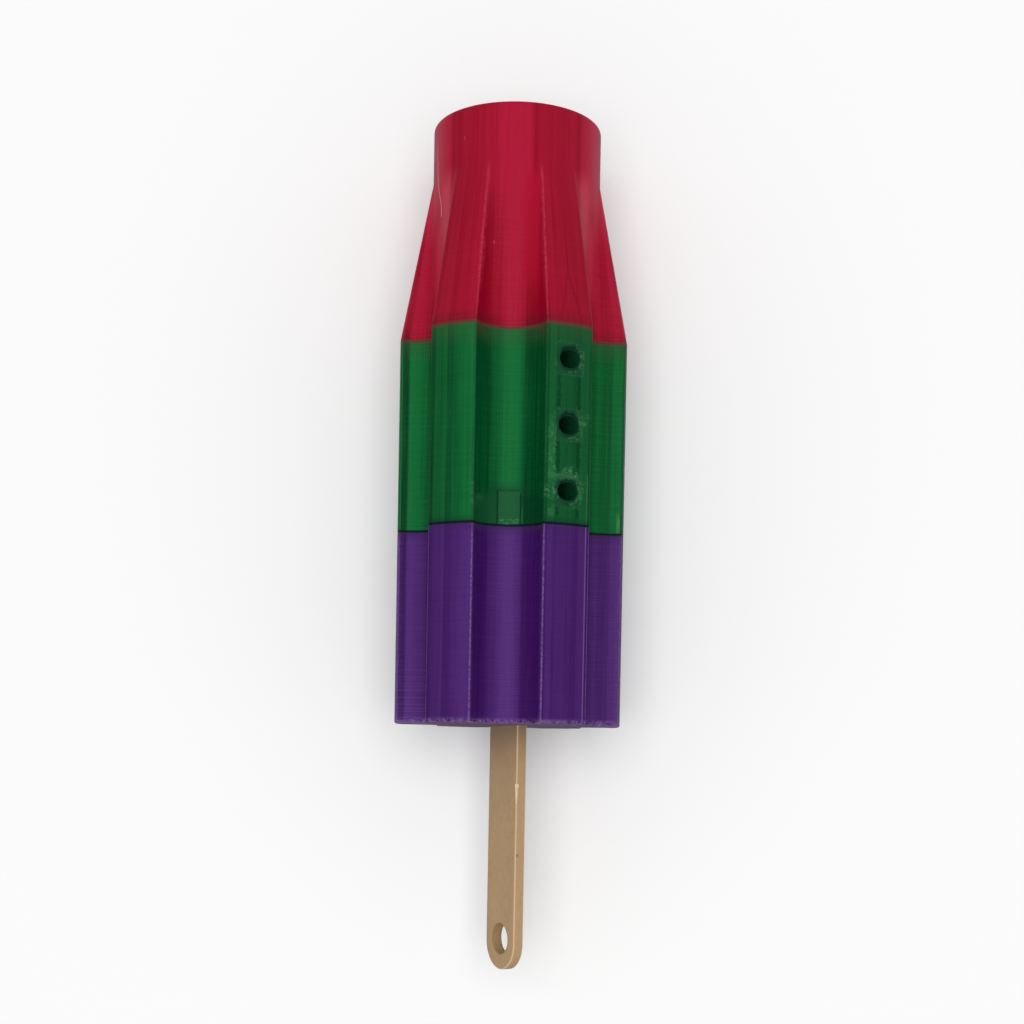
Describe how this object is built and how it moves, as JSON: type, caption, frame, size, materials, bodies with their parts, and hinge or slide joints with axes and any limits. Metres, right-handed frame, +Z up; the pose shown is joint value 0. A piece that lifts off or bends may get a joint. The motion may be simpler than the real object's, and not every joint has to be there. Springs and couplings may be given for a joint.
{
  "type": "plastic ice lolly",
  "caption": "Plastic copy of a fluted ice lolly: red tip that narrows to a round neck, green middle with holes in one rib, purple base, flat stick with a hanging hole.",
  "frame": {"origin": "on the floor under the middle of the object's box, as it lies on its back", "axes": "+X along the lolly towards the stick's free end, +Z up out of the shown side, +Y towards the rib with the holes"},
  "size_m": [0.1552, 0.042, 0.04],
  "materials": {
    "red_plastic": "translucent, fine layer lines",
    "green_plastic": "translucent, fine layer lines",
    "purple_plastic": "translucent, fine layer lines",
    "tan_plastic": "satin"
  },
  "bodies": {
    "root": {"tip_section": "red_plastic", "middle_section": "green_plastic", "base_section": "purple_plastic", "stick": "tan_plastic"}
  },
  "joints": []
}
